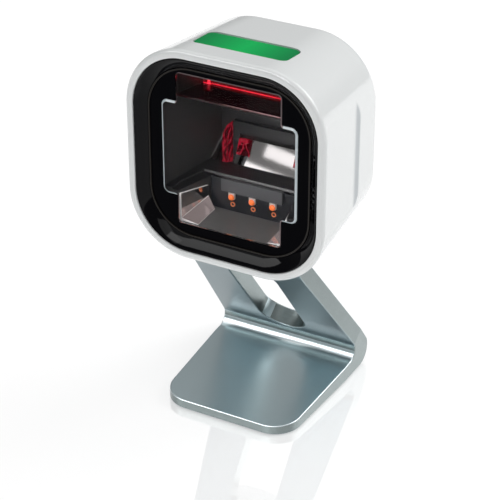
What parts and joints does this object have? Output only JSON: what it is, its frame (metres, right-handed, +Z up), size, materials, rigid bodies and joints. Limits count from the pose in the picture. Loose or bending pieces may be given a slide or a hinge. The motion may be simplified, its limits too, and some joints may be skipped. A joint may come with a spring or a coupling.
{
  "type": "presentation barcode scanner",
  "caption": "Hands-free barcode scanner: rounded white head with a cross-shaped window in a black bezel and a green light-bar button, tilting on a bent metal stand.",
  "frame": {"origin": "on the counter, under the middle of the whole scanner", "axes": "+Z up; the window faces -Y; +X is to the right of someone who stands behind the camera and looks at the window"},
  "size_m": [0.0866, 0.072, 0.1607],
  "materials": {
    "housing_white": "glossy",
    "bezel_black": "high gloss",
    "mask_black": "high gloss",
    "window_clear": "polished",
    "rubber_black": "matte",
    "chassis_black": "satin",
    "screen_grey": "satin",
    "board_black": "solder mask",
    "board_green": "solder mask",
    "mirror_silver": "polished",
    "red_clear": "polished",
    "aimer_red": "glowing",
    "lamp_amber": "glowing",
    "lamp_green": "diffuse",
    "light_bar_green": "satin, translucent",
    "carrier_white": "matte",
    "steel": "plated",
    "bronze": "satin",
    "stand_aluminium": "satin anodised",
    "washer_polymer": "matte",
    "lens_glass": "coated",
    "socket_black": "satin"
  },
  "bodies": {
    "stand": {"foot_front_left": "rubber_black", "foot_front_right": "rubber_black", "foot_rear_left": "rubber_black", "foot_rear_right": "rubber_black", "friction_washer_left": "washer_polymer", "friction_washer_right": "washer_polymer", "stand_plate": "stand_aluminium"},
    "head": {"aiming_led": "aimer_red", "aiming_light_guide": "aimer_red", "bay_mirror_left": "mirror_silver", "bay_mirror_right": "mirror_silver", "beeper": "chassis_black", "board_connector": "carrier_white", "board_screws": "steel", "button_switch": "socket_black", "button_tray": "chassis_black", "cover_screws": "steel", "front_bezel": "bezel_black", "hinge_pin": "steel", "housing_shell": "housing_white", "illumination_board": "board_black", "illumination_led_centre": "lamp_amber", "illumination_led_left": "lamp_amber", "illumination_led_right": "lamp_amber", "image_sensor": "board_black", "indicator_board": "board_green", "indicator_led_1": "lamp_green", "indicator_led_2": "lamp_green", "indicator_led_3": "lamp_green", "indicator_led_4": "lamp_green", "interface_socket": "socket_black", "lens_glass": "lens_glass", "lens_holder": "chassis_black", "light_shield": "screen_grey", "main_board": "board_green", "mirror_frame": "chassis_black", "optics_chassis": "chassis_black", "pin_clip_left": "steel", "pin_clip_right": "steel", "pivot_bush_left": "bronze", "pivot_bush_right": "bronze", "processor_shield": "steel", "rear_cover": "housing_white", "rear_mirror": "mirror_silver", "side_mirror_left": "mirror_silver", "side_mirror_right": "mirror_silver", "upper_baffle": "red_clear", "window_gasket": "rubber_black", "window_glass": "window_clear", "window_mask": "mask_black"},
    "button": {"button_lens": "light_bar_green", "button_carrier": "carrier_white"}
  },
  "joints": [
    {"name": "head_tilt", "type": "hinge", "parent": "stand", "child": "head", "pos_m": [0, -0.01551, 0.0764], "axis": [1, 0, 0], "range_deg": [-15, 15]},
    {"name": "button_press", "type": "slide", "parent": "head", "child": "button", "axis": [0, -0.0732, -0.9973], "range_m": [0, 0.0009], "stiffness_N_per_m": 1500, "springref_m": -0.0004}
  ]
}
